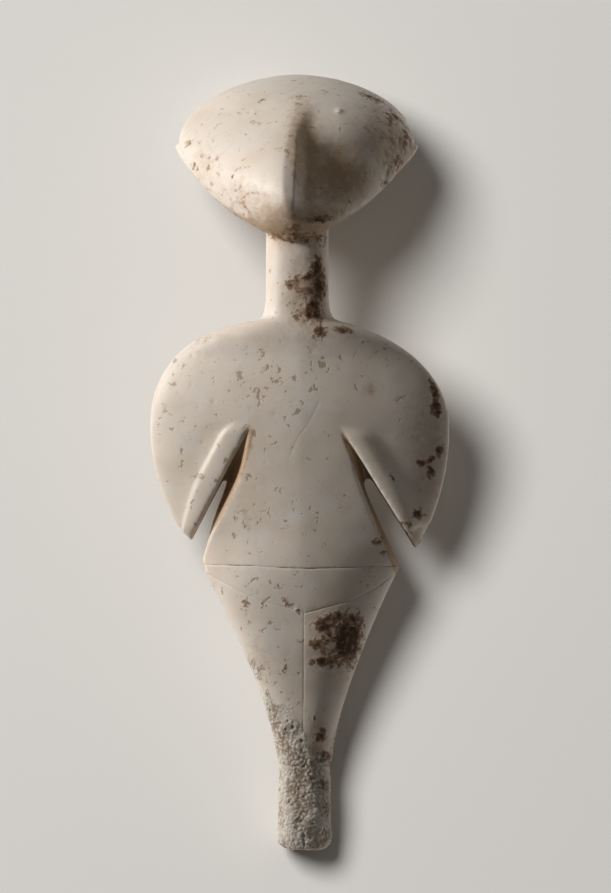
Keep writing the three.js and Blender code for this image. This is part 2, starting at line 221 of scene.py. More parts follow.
def faceDepth(across, y):
    # front of the head: on each side of the ridge, reach times the 1 / power root of 1 less u to the power,
    # where u runs from 0 at the ridge to 1 at the outline, and over it the nose as a slab with its own edges
    f = headForm
    half = headHalfWidth(y)
    centre, reach = headCentreAndReach(y)
    t = np.clip((y - f["noseFoot"]) / (f["noseBridge"] - f["noseFoot"]), 0, 1)
    swell = np.sin(np.pi * t ** f["noseSwell"]) ** f["noseSwell"]
    ridge = -f["noseLeft"] * swell
    left = f["leftCheek"] + (f["leftBrow"] - f["leftCheek"]) * easeStep(y, *f["leftEase"])
    right = f["rightCheek"] + (f["rightBrow"] - f["rightCheek"]) * easeStep(y, *f["rightEase"])
    jaw = f["jawRound"] * (1 - easeStep(y - f["chin"], *f["jawEase"]))
    onLeft = across < ridge
    power = np.where(onLeft, left, right) + jaw
    u = np.where(onLeft, (ridge - across) / (half + ridge), (across - ridge) / (half - ridge))
    u = np.clip(u, 0, 1)
    cheek = reach * np.clip(1 - u ** power, 0, None) ** (1 / power)
    trough = easeStep(across - ridge, *f["troughStart"]) * (1 - easeStep(across - ridge, *f["troughEnd"]))
    cheek = cheek - f["noseTrough"] * swell * trough
    beyond = across - ridge - f["noseWidth"] * swell
    slab = reach + f["noseStep"] * swell - f["noseFall"] * (across - ridge)
    slab = slab - f["noseFlank"] * np.clip(beyond, 0, None)
    slab = slab - f["noseBack"] * np.clip(ridge - across, 0, None)
    slab = slab - f["noseEndDrop"] * (1 - easeStep(t, 0, f["noseEnd"]) + easeStep(t, 1 - f["noseEnd"], 1))
    over = slab - cheek
    face = cheek + (over + np.sqrt(over ** 2 + f["noseBlend"])) / 2 * (reach > f["noseLeastReach"])
    under = np.clip((f["tuckBelow"] - y) / (f["tuckBelow"] - f["chin"]), 0, 1) ** 2
    return centre + face * np.clip(1 - f["chinTuck"] * under / np.clip(reach, 0.1, None), f["tuckLeast"], 1)


def headSurface():
    # level cuts again, with the columns crowded towards the middle of the face
    f = headForm
    turn = np.linspace(0, np.pi, f["rows"] + 2)[1:-1]
    y = (f["chin"] + (f["crown"] - f["chin"]) * (1 - np.cos(turn)) / 2)[:, None]
    even = np.pi / 2 - np.linspace(0, 2 * np.pi, f["columns"], endpoint=False)[None, :]
    angle = even + f["crowding"] * np.cos(even)
    across = headHalfWidth(y) * np.cos(angle)
    centre, reach = headCentreAndReach(y)
    z = np.where(np.sin(angle) > 0, faceDepth(across, y), centre + reach * np.sin(angle))
    return headMiddle(y) + across, y + 0 * across, z


earForm = {
    "drop": 0.8, "length": 8, "inset": 2, "proud": 1.2, "halfDepth": 3.2, "back": 2.2,
    "square": 0.85,  # below 1 the ear's section is squarer than an oval
    "rows": 24, "columns": 32,
}


def earSurface(sign):
    # a ridge along the edge of the head with a square top, running out downwards
    f = earForm
    top = headForm["temple"] - f["drop"]
    y = np.linspace(top - f["length"], top, f["rows"])[:, None]
    angle = np.linspace(0, -2 * np.pi, f["columns"], endpoint=False)[None, :]
    halfWidth = f["inset"] + f["proud"] * (1 - (top - y) / f["length"])
    middle = headMiddle(y) + sign * (headHalfWidth(y) - f["inset"])
    x = middle + halfWidth * signedPower(np.cos(angle), f["square"])
    z = headCentreAndReach(y)[0] - f["back"] + f["halfDepth"] * signedPower(np.sin(angle), f["square"])
    return x, y + 0 * x, z


# edges of each slit as distances from the middle line, so many millimetres below the armpit
slits = {
    "left": {
        "sign": -1, "armpit": 93.4,
        "arm": lambda down: 11.2 + 0.53 * down,
        "torso": lambda down: 9.9 + 0.06 * np.clip(down, 0, None) ** 1.6,
        "torsoDeep": lambda down: 8.4 + 0.85 * down - 0.0148 * down ** 2,
    },
    "right": {
        "sign": 1, "armpit": 92.2,
        "arm": lambda down: 9.6 + 0.635 * down,
        "torso": lambda down: 8.6 + 0.39 * down,
        "torsoDeep": lambda down: 9 + 0.45 * down,
    },
}


slitForm = {
    "top": 0.2, "length": 31.8, "rows": 60, "columns": 40, "crowding": 1.3,
    "floor": 7, "floorDrop": 9, "dropEnds": (0, 15.5),    # from a groove to an opening
    "throughEnds": (4, 14), "undercut": 0.7, "leastWidth": 0.3,
    "outside": 10, "torsoClear": 0.4, "armClear": 0.3,    # the cutter starts clear of the stone
    "wallEase": (-0.1, 0.7), "wallTop": (-1, 2), "wallBottom": 33,
}


def slitSurface(slit, face):
    # a four-cornered cutter, wide at the surface and narrow within, that soon reaches right through
    f = slitForm
    down = (f["top"] + f["length"] * np.linspace(1, 0, f["rows"]) ** f["crowding"])[:, None]
    deep = f["floor"] - f["floorDrop"] * easeStep(down, *f["dropEnds"])
    through = easeStep(down, *f["throughEnds"])
    armDeep = slit["arm"](down) - f["undercut"] * through
    narrow = armDeep - f["leastWidth"]
    floor = np.minimum(narrow, narrow + through * (slit["torsoDeep"](down) - narrow))
    corner = np.linspace(0, 4, f["columns"], endpoint=False)[None, :]
    outside = f["outside"] + 0 * down
    torso, arm = slit["torso"](down) - f["torsoClear"], slit["arm"](down) + f["armClear"]
    xs = np.concatenate([torso, arm, armDeep, floor], axis=1)
    zs = np.concatenate([outside, outside, deep, deep], axis=1)
    low = np.floor(corner).astype(int)[0]
    t = corner - low
    x = xs[:, low] * (1 - t) + xs[:, (low + 1) % 4] * t
    z = zs[:, low] * (1 - t) + zs[:, (low + 1) % 4] * t
    x, z = slit["sign"] * x, face * z
    if slit["sign"] * face < 0:
        x, z = x[:, ::-1], z[:, ::-1]
    return x, slit["armpit"] - down + 0 * x, z


def closedGrid(name, surface):
    # rows of rings joined by quads, each end closed to its ring's centre
    x, y, z = surface
    rows, columns = x.shape
    points = np.stack([x, y, z], axis=2)
    ends = points[[0, -1]].mean(axis=1)
    verts = np.vstack([points.reshape(-1, 3), ends])
    here = np.arange(columns)
    nextOne = (here + 1) % columns
    base = np.arange(rows - 1)[:, None] * columns
    quads = np.stack([base + here, base + nextOne, base + columns + nextOne, base + columns + here], axis=2)
    last = (rows - 1) * columns
    bottom = np.stack([nextOne, here, 0 * here + rows * columns], axis=1)
    top = np.stack([last + here, last + nextOne, 0 * here + rows * columns + 1], axis=1)
    mesh = bpy.data.meshes.new(name)
    mesh.from_pydata(verts.tolist(), [], quads.reshape(-1, 4).tolist() + bottom.tolist() + top.tolist())
    obj = bpy.data.objects.new(name, mesh)
    bpy.context.scene.collection.objects.link(obj)
    return obj


def applyModifiers(obj):
    evaluated = obj.evaluated_get(bpy.context.evaluated_depsgraph_get())
    mesh = bpy.data.meshes.new_from_object(evaluated)
    obj.modifiers.clear()
    obj.data = mesh


def joinObjects(objects, name):
    for obj in bpy.context.selected_objects:
        obj.select_set(False)
    for obj in objects:
        obj.select_set(True)
    bpy.context.view_layer.objects.active = objects[0]
    bpy.ops.object.join()
    objects[0].name = name
    return objects[0]


skin = {
    "voxel": 0.42,       # spacing of the fused skin
    "rubbing": 3,        # rounds of smoothing over it
    "lineZone": 0.7,     # half width of the strips along incised lines that get a finer mesh
    "triangles": 192000,
    "fullHollow": 0.08,  # a dip this deep counts as a full hollow in the finish
}


def roughForm():
    # body with its slits cut, then head and ears, fused into one even skin
    body = closedGrid("body", bodySurface())
    for slit in slits.values():
        for face in (1, -1):
            cutter = closedGrid("cutter", slitSurface(slit, face))
            cut = body.modifiers.new("slit", "BOOLEAN")
            cut.operation = "DIFFERENCE"
            cut.object = cutter
            applyModifiers(body)
            bpy.data.objects.remove(cutter)
    head = closedGrid("head", headSurface())
    ears = [closedGrid("ear", earSurface(sign)) for sign in (-1, 1)]
    form = joinObjects([body, head, *ears], "stargazer")
    fuse = form.modifiers.new("fuse", "REMESH")
    fuse.mode = "VOXEL"
    fuse.voxel_size = skin["voxel"]
    rub = form.modifiers.new("rub", "SMOOTH")
    rub.factor = 0.5
    rub.iterations = skin["rubbing"]
    applyModifiers(form)
    return form


# incised lines as seen from the front: points on the line, depth, half width and how dark its dirt is
incisions = {
    "waist": {"path": [(-21.6, 62.9), (-9.75, 62.6), (2.2, 62.0), (21.8, 62.6)],
              "depth": 0.2, "half": 0.13, "dirt": 0.95},
    "groin left": {"path": [(-20.5, 60.7), (-13.5, 57.1), (-9.1, 55.2), (0.7, 52.3)],
                   "depth": 0.14, "half": 0.14, "dirt": 0.42},
    "groin right": {"path": [(21.9, 61.4), (16.8, 57.7), (11.3, 54.8), (4.9, 53.2), (0.9, 52.1)],
                    "depth": 0.15, "half": 0.13, "dirt": 0.6},
    "legs": {"path": [(0.8, 52.5), (0.8, 21.5)], "depth": 0.08, "half": 0.12, "dirt": 0.7},
    "ankle": {"path": [(-4.9, 18.9), (0.5, 18.1), (6.3, 18.4)], "depth": 0.4, "half": 0.3, "dirt": 1.0},
    "toes": {"path": [(0.9, 3.4), (0.9, -0.5)], "depth": 0.6, "half": 0.35, "dirt": 1.0},
    "scratch": {"path": [(4.2, 98.6), (1.6, 93.6), (-0.6, 90.8), (-2.4, 86.4)],
                "depth": 0.03, "half": 0.2, "dirt": 0.3},
}

# dark earth stains on the front, and along the chin's lower edge a painted shadow: x, y, half width, half
# height, turn in degrees, strength
earthStainsAndChinShadow = [
    (3.6, 128.4, 1.5, 2.6, 0, 1.0), (4.3, 124.6, 1.4, 3.8, 0, 1.0), (1.2, 126.6, 2.0, 0.9, 20, 0.85),
    (-1.4, 125.3, 2.5, 1.8, 0, 0.62), (0.9, 123.6, 2.2, 0.9, 0, 0.9), (2.7, 119.2, 2.0, 3.3, 8, 1.0),
    (-0.8, 118.0, 1.2, 1.9, 10, 0.6), (4.3, 114.3, 1.6, 1.5, 0, 1.0), (9.6, 114.7, 2.4, 0.8, -6, 0.85),
    (14.0, 112.3, 1.3, 0.5, 10, 0.5), (19.6, 110.4, 1.2, 0.8, -30, 0.45),
    (29.6, 101.4, 1.0, 2.4, 14, 0.95), (30.2, 97.4, 1.3, 2.6, 16, 0.95), (28.0, 99.2, 0.8, 0.6, 0, 0.6),
    (30.8, 88.0, 0.9, 1.5, -20, 0.95), (29.0, 86.2, 1.7, 0.7, 35, 0.9), (26.8, 85.4, 1.2, 0.9, 0, 0.95),
    (28.9, 83.4, 0.9, 1.6, 30, 0.95), (20.0, 82.6, 0.5, 1.2, 30, 0.6), (26.2, 74.2, 1.7, 1.1, 0, 0.85),
    (23.4, 71.8, 1.6, 0.9, 0, 0.7), (17.4, 67.9, 1.9, 0.9, 35, 0.75), (18.6, 65.6, 0.6, 1.3, -20, 0.6),
    (10.4, 46.4, 3.4, 5.8, -6, 1.1), (5.4, 49.8, 3.0, 2.0, 20, 0.95), (3.9, 45.4, 2.2, 1.3, 0, 0.9),
    (5.4, 41.4, 3.4, 1.2, -6, 1.0), (8.0, 51.5, 3.8, 1.0, 0, 0.9), (6.6, 45.6, 2.8, 4.0, 0, 0.7),
    (-2.9, 54.6, 1.5, 0.9, -30, 0.85), (-0.6, 52.8, 1.0, 0.6, -40, 0.8), (-8.6, 54.0, 0.8, 0.9, 0, 0.6),
    (-12.2, 54.4, 0.8, 2.0, 25, 0.5), (-3.6, 39.6, 1.0, 1.4, 0, 0.75), (-6.6, 39.4, 0.7, 1.0, 0, 0.5),
    (13.6, 38.4, 0.6, 0.6, 0, 0.7), (3.2, 29.2, 0.5, 0.9, 0, 0.7), (4.4, 25.0, 1.4, 2.4, -20, 0.85),
    (5.4, 19.9, 2.2, 1.5, 0, 0.95), (5.2, 13.4, 1.3, 2.6, 0, 0.7), (5.2, 8.9, 1.2, 2.0, 0, 0.75),
    (16.0, 166.7, 3.2, 0.9, -22, 0.62), (20.6, 162.6, 2.2, 1.6, -45, 0.62), (23.4, 157.4, 1.2, 3.4, 0, 0.6),
    (21.8, 151.6, 1.4, 2.6, -25, 0.62), (18.6, 147.2, 1.3, 1.0, -40, 0.6),
    # the three rows along the chin's lower edge paint the chin's shadow as a dark band
    (4.4, 139.2, 3.4, 0.9, 6, 0.85), (-1.6, 137.4, 2.2, 0.7, 0, 0.75), (-0.5, 135.4, 7.2, 1.3, 0, 0.7),
    (-23.4, 151.2, 0.9, 1.4, 30, 0.5), (-20.6, 151.0, 0.6, 1.0, 0, 0.55), (-24.6, 156.6, 0.8, 1.4, 0, 0.45),
    (-8.6, 165.8, 1.6, 0.4, 28, 0.6), (-15.0, 148.6, 0.3, 1.4, -10, 0.6), (-12.0, 141.6, 0.5, 1.8, 35, 0.55),
    (0.0, 152.0, 0.35, 0.9, 0, 0.5), (-0.9, 156.4, 0.3, 0.5, 0, 0.5),
]

# paler tan washes, the same way; the rows on the right flank of the nose, the lower right of the face, the
# chin and the left jaw are painted shade, the one at the chin only in part
tanWashesAndShade = [
    (2.0, 122.0, 5.2, 10.5, 0, 0.6), (9.0, 114.4, 5.5, 2.2, -8, 0.4), (21.0, 157.0, 6.5, 13.0, 24, 0.6),
    (15.7, 101.3, 1.6, 1.9, 0, 0.62), (-8.0, 141.5, 12.0, 5.0, -34, 0.45), (28.6, 88.0, 5.0, 14.0, 8, 0.4),
    (8.0, 46.4, 6.8, 8.2, 0, 0.42), (2.0, 139.0, 13.0, 4.5, 0, 0.8), (1.4, 153.0, 3.6, 12.0, 6, 0.9),
    (8.2, 149.0, 6.5, 8.0, 30, 0.9), (12.0, 33.0, 2.6, 9.0, -16, 0.4),
    (4.0, 18.0, 3.6, 11.0, 0, 0.5), (-21.0, 112.0, 5.0, 3.0, 40, 0.3), (-21.5, 152.0, 3.4, 6.0, 0, 0.35),
    (-12.0, 73.5, 0.8, 6.5, 8, 0.4), (-9.0, 41.0, 3.4, 6.0, 20, 0.4),
]

# stretches where thin root marks lie close together, the same way
rootZones = [
    (-6.0, 106.0, 8.0, 8.0, 0, 0.75), (-22.0, 90.0, 10.0, 12.0, 0, 0.5), (-10.0, 72.0, 6.0, 9.0, 0, 0.6),
    (-9.0, 52.0, 5.0, 10.0, 12, 0.75), (-21.0, 150.0, 5.0, 8.0, 0, 0.7), (-14.0, 144.0, 3.0, 6.0, 35, 0.9),
    (0.0, 120.0, 7.0, 7.0, 0, 0.55), (6.0, 108.0, 6.0, 5.0, 0, 0.6), (20.0, 158.0, 6.0, 8.0, 0, 0.8),
    (-8.0, 39.0, 4.0, 6.0, 0, 0.9), (-14.0, 163.0, 7.0, 3.0, 20, 0.5), (-24.0, 108.0, 5.0, 5.0, 40, 0.5),
    (-9.0, 84.0, 3.0, 5.0, 0, 0.5),
]


def ovals(points, rows):
    # strongest of a list of soft ovals: strength times a bell curve of the distance over the half sizes
    total = np.zeros(len(points))
    for x, y, halfWidth, halfHeight, turn, strength in rows:
        along = points[:, :2] - (x, y)
        c, s = math.cos(math.radians(turn)), math.sin(math.radians(turn))
        u = (along[:, 0] * c + along[:, 1] * s) / halfWidth
        v = (along[:, 1] * c - along[:, 0] * s) / halfHeight
        total = np.maximum(total, strength * np.exp(-0.7 * (u * u + v * v) ** 1.3))
    return total


def pathDistance(points, path):
    # shortest distance, seen from the front, to a line through the given points
    flat = points[:, :2]
    best = np.full(len(points), 1e9)
    for start, end in zip(np.array(path[:-1], float), np.array(path[1:], float)):
        step = end - start
        t = np.clip((flat - start) @ step / (step @ step), 0, 1)
        best = np.minimum(best, np.linalg.norm(flat - start - t[:, None] * step, axis=1))
    return best


def spots(points, cell, chance, sizes, seed):
    # rounded spots, one at most in each cube of a lattice, at a random place and of a random size:
    # 1 at the middle of a spot and 0 at its edge
    home = np.floor(points / cell).astype(np.int64)
    best = np.zeros(len(points))
    for corner in product((-1, 0, 1), repeat=3):
        key = (home + corner) @ cellPrimes + seed * 7919
        random = []
        for _ in range(5):
            key = (key ^ (key >> 15)) * 2246822519 & 0xFFFFFFFFFFFF
            random.append(((key >> 12) & 0xFFFF) / 65535)
        centre = (home + corner + np.stack(random[:3], axis=1)) * cell
        radius = sizes[0] + (sizes[1] - sizes[0]) * random[3] ** 2
        far = np.linalg.norm(points - centre, axis=1) / radius
        best = np.maximum(best, np.where(random[4] < chance, np.clip(1 - far ** 2, 0, None), 0))
    return best


def facingFront(normals):
    # 1 where the stone faces the front, 0 where it faces aside or back
    return easeStep(normals[:, 2], 0.05, 0.45)


def slitPlace(points, slit):
    # millimetres below the armpit, and distance from the middle line on the slit's own side
    return slit["armpit"] - points[:, 1], slit["sign"] * points[:, 0]


# the forearm: a roll along the inner edge of each arm, with a crisp outer edge on the left arm only. Its
# crest, fall and hollow are in widths from the slit, and its ends in millimetres below the armpit
forearm = {
    "width": 5.5, "taper": 0.014, "taperFrom": 9, "leastWidth": 0.6, "widens": (-7, 2),
    "height": {"left": 0.5, "right": 0.7}, "inner": -0.2, "crest": 0.75,
    "fall": {"left": (0.8, 1.12), "right": (0.45, 1.5)},
    "hollow": 0.12, "hollowPlace": 1.45, "hollowHalf": 0.5,
    "top": (-1.6, 1.4), "tip": (23, 27),
}


def forearmRoll(points, front):
    f = forearm
    total = np.zeros(len(points))
    for name, slit in slits.items():
        down, across = slitPlace(points, slit)
        width = f["width"] - f["taper"] * np.clip(down - f["taperFrom"], 0, None) ** 2
        width = np.clip(width * easeStep(down, *f["widens"]), f["leastWidth"], None)
        t = (across - slit["arm"](down)) / width
        rise = np.sqrt(np.clip(1 - (1 - np.clip(t / f["crest"], 0, 1)) ** 2, 0, 1))
        roll = f["height"][name] * rise * (1 - easeStep(t, *f["fall"][name]))
        beside = f["hollow"] * np.exp(-((t - f["hollowPlace"]) / f["hollowHalf"]) ** 2) * (t > 0)
        ends = easeStep(down, *f["top"]) * (1 - easeStep(down, *f["tip"]))
        total += (roll - beside) * ends * (t > f["inner"])
    return total * front


def slitWall(points):
    # 1 on the walls of the slits, whichever face they were cut from
    wall = np.zeros(len(points))
    for slit in slits.values():
        down, across = slitPlace(points, slit)
        inside = np.minimum(across - slit["torso"](down), slit["arm"](down) - across)
        reached = easeStep(down, *slitForm["wallTop"]) * (down < slitForm["wallBottom"])
        wall = np.maximum(wall, easeStep(inside, *slitForm["wallEase"]) * reached)
    return wall


limeCrust = {
    "start": (30, 20.5), "slope": (-1.5, 3.5),  # upper level on the left and right, and where it drops
    "waver": 3.5, "waverSize": 6, "edge": (-2.5, 4),
    "stripStart": 43, "stripTop": (-1.5, 4), "stripWidth": (0.8, 2.8), "gapSize": 2.6, "gaps": (-0.55, 0.1),
    "thick": 0.34, "lift": 0.1, "clumps": 0.2, "clumpSize": 3.2, "holeDepth": 0.3,
    "highest": 60,
}


def limeAmount(points, front):
    # where the crust is: everything below a level that is lower on the right, and a strip up the left edge
    f = limeCrust
    x, y = points[:, 0], points[:, 1]
    left, right = f["start"]
    level = left + (right - left) * easeStep(x, *f["slope"]) * front
    covered = easeStep(level - y + f["waver"] * cloudNoise(points, f["waverSize"], 3, 41), *f["edge"])
    fromEdge = x - bodyMiddle(y) + bodyHalfWidth(y, 0)
    strip = (1 - easeStep(fromEdge, *f["stripWidth"])) * easeStep(f["stripStart"] - y, *f["stripTop"])
    broken = easeStep(cloudNoise(points, f["gapSize"], 2, 43), *f["gaps"])
    return np.maximum(covered, strip * broken) * (y < f["highest"])


def limeRelief(points, lime):
    # crumbs of two sizes on wider clumps, with small holes: the height, and how far up a crumb a point is
    f = limeCrust
    coarse = spots(points, 0.7, 0.95, (0.28, 0.6), 35)
    fine = spots(points, 0.42, 0.85, (0.16, 0.34), 37)
    crumb = 0.5 * coarse + 0.3 * fine + 0.35 * cloudNoise(points, 3, 2, 39) + 0.1
    clumps = f["clumps"] * cloudNoise(points, f["clumpSize"], 2, 47)
    holes = spots(points, 1.3, 0.45, (0.2, 0.5), 45) * lime
    height = lime * (f["thick"] * (crumb - 0.35) + f["lift"] + clumps) - f["holeDepth"] * holes
    return height, np.clip(crumb - holes, 0, 1)


# two pellets high on the face: the right one stands out, with a low swelling below it, the left is worn
pellets = {
    "places": ((9.0, 0.34), (-9.8, 0.10)),  # across, height
    "level": 163.3, "aside": 0.4, "radius": 0.6,
    "swellingLevel": 161, "swellingSize": (3.4, 3.6), "swelling": 0.8,
}


def eyes(points, front):
    f = pellets
    wide, tall = f["swellingSize"]
    total = np.zeros(len(points))
    for x, height in f["places"]:
        far = np.hypot(points[:, 0] - x + f["aside"], points[:, 1] - f["level"])
        beyond = np.hypot((points[:, 0] - x) / wide, (points[:, 1] - f["swellingLevel"]) / tall)
        total += height * np.exp(-(far / f["radius"]) ** 2) + f["swelling"] * height * np.exp(-beyond ** 2)
    return total * front


# relief in millimetres, with chips as ovals: x, y, half width, half height, turn in degrees, strength
relief = {
    "waves": 0.10, "waveSize": 13, "ripples": 0.03, "rippleSize": 4,
    "stray": 0.12, "straySize": 5, "lineWear": 0.35, "lineWearSize": 3,
    "stainLift": 0.14, "backStains": 0.75, "backStainSize": 16,
    "strayRoots": 0.3, "strayRootSize": 14,
    "pitDepth": 0.16, "pitsAnywhere": 0.15, "pitsInRoots": 0.7,
    "edgeChips": [(22.4, 160.5, 3.5, 5, 0, 1), (20, 150, 3, 5, -30, 1), (-13, 142, 2, 6, 35, 0.8)],
    "edgeChipDepth": 0.35,
    "tipChips": [(25.8, 70.4, 3.2, 1.8, 0, 1)], "tipChipDepth": 0.7,
    # the last two set the levels of the painted shade on faces turned down under the chin
    "soilInSlits": 1.3, "chinShadeFrom": (128, 134), "chinShadeTo": (139, 150),
}


def cutLines(points, front, lime):
    # depth of the incised lines, each a bell across its width, and how dark their dirt is
    wander = points + relief["stray"] * cloudNoise(points, relief["straySize"], 2, 7)[:, None]
    wear = 0.8 + relief["lineWear"] * cloudNoise(points, relief["lineWearSize"], 2, 9)
    depth = np.zeros(len(points))
    groove = np.zeros(len(points))
    for line in incisions.values():
        cut = np.exp(-(pathDistance(wander, line["path"]) / line["half"]) ** 2) * front * wear
        depth += line["depth"] * cut * (1 - 0.6 * lime)
        groove = np.maximum(groove, cut * line["dirt"])
    return depth, groove * (1 - 0.5 * lime)


def carve(points, normals):
    # all that is raised or sunk in the stone, in millimetres along the normal, and the masks that the
    # finish reads
    f = relief
    front = facingFront(normals)
    behind = easeStep(-normals[:, 2], 0.1, 0.5)
    y = points[:, 1]
    masks = {}
    lime = limeAmount(points, front)
    masks["lime"] = lime

    raised = f["waves"] * cloudNoise(points, f["waveSize"], 2, 3)
    raised += f["ripples"] * cloudNoise(points, f["rippleSize"], 2, 5)
    raised += forearmRoll(points, front) + eyes(points, front)
    depth, masks["groove"] = cutLines(points, front, lime)
    raised -= depth

    # earth stains, with the chin's painted shadow among them
    stainAndShadow = ovals(points, earthStainsAndChinShadow) * easeStep(normals[:, 2], -0.35, 0.1)
    backStain = f["backStains"] * easeStep(cloudNoise(points, f["backStainSize"], 3, 21), 0.35, 0.75)
    stainAndShadow = np.maximum(stainAndShadow, behind * backStain)
    masks["stainAndShadow"] = stainAndShadow
    raised += f["stainLift"] * easeStep(stainAndShadow, 0.45, 0.9) * (0.5 + spots(points, 1.3, 0.9, (0.4, 0.9), 23))

    # worn pits, closer together where roots have lain and in the stained places
    strayRoots = f["strayRoots"] * easeStep(cloudNoise(points, f["strayRootSize"], 2, 25), 0, 0.6)
    roots = np.maximum(ovals(points, rootZones), strayRoots)
    masks["roots"] = roots
    pitted = np.clip(f["pitsAnywhere"] + f["pitsInRoots"] * roots + stainAndShadow, 0, 1) * (1 - lime)
    masks["pit"] = spots(points, 2.2, 0.3, (0.3, 0.75), 27) * pitted
    raised -= f["pitDepth"] * masks["pit"]

    # chips along the head's right edge, pitting down the left of the chin, and the arm's broken tip
    edge = ovals(points, f["edgeChips"]) * easeStep(cloudNoise(points, 2.4, 2, 31), -0.1, 0.5)
    tip = ovals(points, f["tipChips"]) * easeStep(cloudNoise(points, 2.2, 2, 33), -0.4, 0.5)
    raised -= f["edgeChipDepth"] * edge + f["tipChipDepth"] * tip

    crust, masks["crumb"] = limeRelief(points, lime)
    raised += crust

    # earth lies in the slits and in the stained stretches; the faces turned down under the chin get painted
    # shade, and some of the washes paint shade on the face
    underChinShade = easeStep(-normals[:, 1], 0.25, 0.85) * easeStep(y, *f["chinShadeFrom"])
    underChinShade *= 1 - easeStep(y, *f["chinShadeTo"])
    inSlits = f["soilInSlits"] * slitWall(points)
    masks["soilAndShade"] = np.maximum.reduce([inSlits, underChinShade, ovals(points, tanWashesAndShade) * front])
    return raised, masks


def readPoints(mesh, kind="co"):
    values = np.empty(len(mesh.vertices) * 3)
    if kind == "co":
        mesh.vertices.foreach_get("co", values)
    else:
        mesh.vertex_normals.foreach_get("vector", values)
    return values.reshape(-1, 3)


def refineLines(obj):
    # splits the edges along the incised lines in three, so that a thin line has points to be cut with, and
    # those under the crust in two
    work = bmesh.new()
    work.from_mesh(obj.data)
    points = readPoints(obj.data)
    normals = readPoints(obj.data, "normal")
    near = np.min([pathDistance(points, line["path"]) for line in incisions.values()], axis=0)
    onLine = (near < skin["lineZone"]) & (normals[:, 2] > 0.1)
    crusted = limeAmount(points, facingFront(normals)) > 0.2
    for chosen, cuts in ((onLine, 2), (crusted & ~onLine, 1)):
        edges = [edge for edge in work.edges
                 if all(vert.index < len(chosen) and chosen[vert.index] for vert in edge.verts)]
        bmesh.ops.subdivide_edges(work, edges=edges, cuts=cuts, use_grid_fill=True)
    bmesh.ops.triangulate(work, faces=[face for face in work.faces if len(face.verts) > 4])
    work.to_mesh(obj.data)
    work.free()


def thinOut(obj):
    # fewer triangles where the stone is smooth, so that the detailed places keep theirs
    obj.data.calc_loop_triangles()
    thin = obj.modifiers.new("thin", "DECIMATE")
    thin.ratio = min(1, skin["triangles"] / len(obj.data.loop_triangles))
    applyModifiers(obj)


def hollowness(mesh):
    # how far each point lies below the mean of its neighbours, along its normal, in millimetres
    points = readPoints(mesh)
    normals = readPoints(mesh, "normal")
    edges = np.empty(len(mesh.edges) * 2, dtype=np.int64)
    mesh.edges.foreach_get("vertices", edges)
    a, b = edges.reshape(-1, 2).T
    count = np.bincount(edges, minlength=len(points))
    mean = np.empty_like(points)
    for axis in range(3):
        near = np.bincount(a, points[b, axis], len(points)) + np.bincount(b, points[a, axis], len(points))
        mean[:, axis] = near / np.maximum(count, 1)
    depth = np.einsum("ij,ij->i", mean - points, normals)
    for _ in range(2):
        near = np.bincount(a, depth[b], len(points)) + np.bincount(b, depth[a], len(points))
        depth = (depth + near / np.maximum(count, 1)) / 2
    return depth


def writeMask(mesh, name, values):
    layer = mesh.attributes.get(name) or mesh.attributes.new(name, "FLOAT", "POINT")
    layer.data.foreach_set("value", np.clip(values, 0, 1).astype(np.float32))


def lowestAfterTurn(points, angle):
    # lowest height of some points once the figure is tipped back by an angle
    return (points[:, 1] * math.sin(angle) + points[:, 2] * math.cos(angle)).min()


def restAngle(points):
    # halves the range of angles until crown and heels reach the ground together
    crown = points[points[:, 1] > headForm["chin"]]
    heels = points[points[:, 1] < bodyForm["ankleLevel"]]
    small, large = 0, 0.5
    for _ in range(20):
        angle = (small + large) / 2
        if lowestAfterTurn(crown, angle) < lowestAfterTurn(heels, angle):
            small = angle
        else:
            large = angle
    return small


def tipBack(points, angle):
    # turn about the x axis
    c, s = math.cos(angle), math.sin(angle)
    x, y, z = points.T
    return np.stack([x, y * c - z * s, y * s + z * c], axis=1)


def placeInFrame(points):
    # scale and shift that fit the tipped figure to the frame's box: same length, centred, and as high
    low, high = points.min(axis=0), points.max(axis=0)
    scale = (highCorner.y - lowCorner.y) / (high[1] - low[1])
    middle = (low + high) / 2 * scale
    goal = (lowCorner + highCorner) / 2
    return scale, np.array([goal.x - middle[0], goal.y - middle[1], highCorner.z - high[2] * scale])


def makeStone():
    stone = roughForm()
    print("rough form:", len(stone.data.vertices), "points")
    formPoints = readPoints(stone.data)
    angle = restAngle(formPoints)
    scale, shift = placeInFrame(tipBack(formPoints, angle))
    refineLines(stone)
    mesh = stone.data
    points = readPoints(mesh)
    normals = readPoints(mesh, "normal")
    raised, masks = carve(points, normals)
    mesh.vertices.foreach_set("co", (points + normals * raised[:, None]).ravel())
    for name, values in masks.items():
        writeMask(mesh, name, values)
    mesh.update()
    print("carved:", len(mesh.vertices), "points")
    thinOut(stone)
    mesh = stone.data
    writeMask(mesh, "hollow", hollowness(mesh) / skin["fullHollow"])
    laid = tipBack(readPoints(mesh), angle) * scale + shift
    laid[:, 2] = np.maximum(laid[:, 2], 0)  # the flats that crown and heels rest on
    mesh.vertices.foreach_set("co", laid.ravel())
    mesh.update()
    mesh.shade_smooth()
    print("laid down:", len(mesh.polygons), "faces, tipped back", round(math.degrees(angle), 2), "degrees")
    return stone, angle, scale, shift


def socketOf(tree, value, target):
    # links a socket or sets a plain value
    if isinstance(value, bpy.types.NodeSocket):
        tree.links.new(value, target)
    else:
        target.default_value = value


def calc(tree, operation, a, b=0.0, clamp=False):
    node = tree.nodes.new("ShaderNodeMath")
    node.operation = operation
    node.use_clamp = clamp
    socketOf(tree, a, node.inputs[0])
    socketOf(tree, b, node.inputs[1])
    return node.outputs[0]


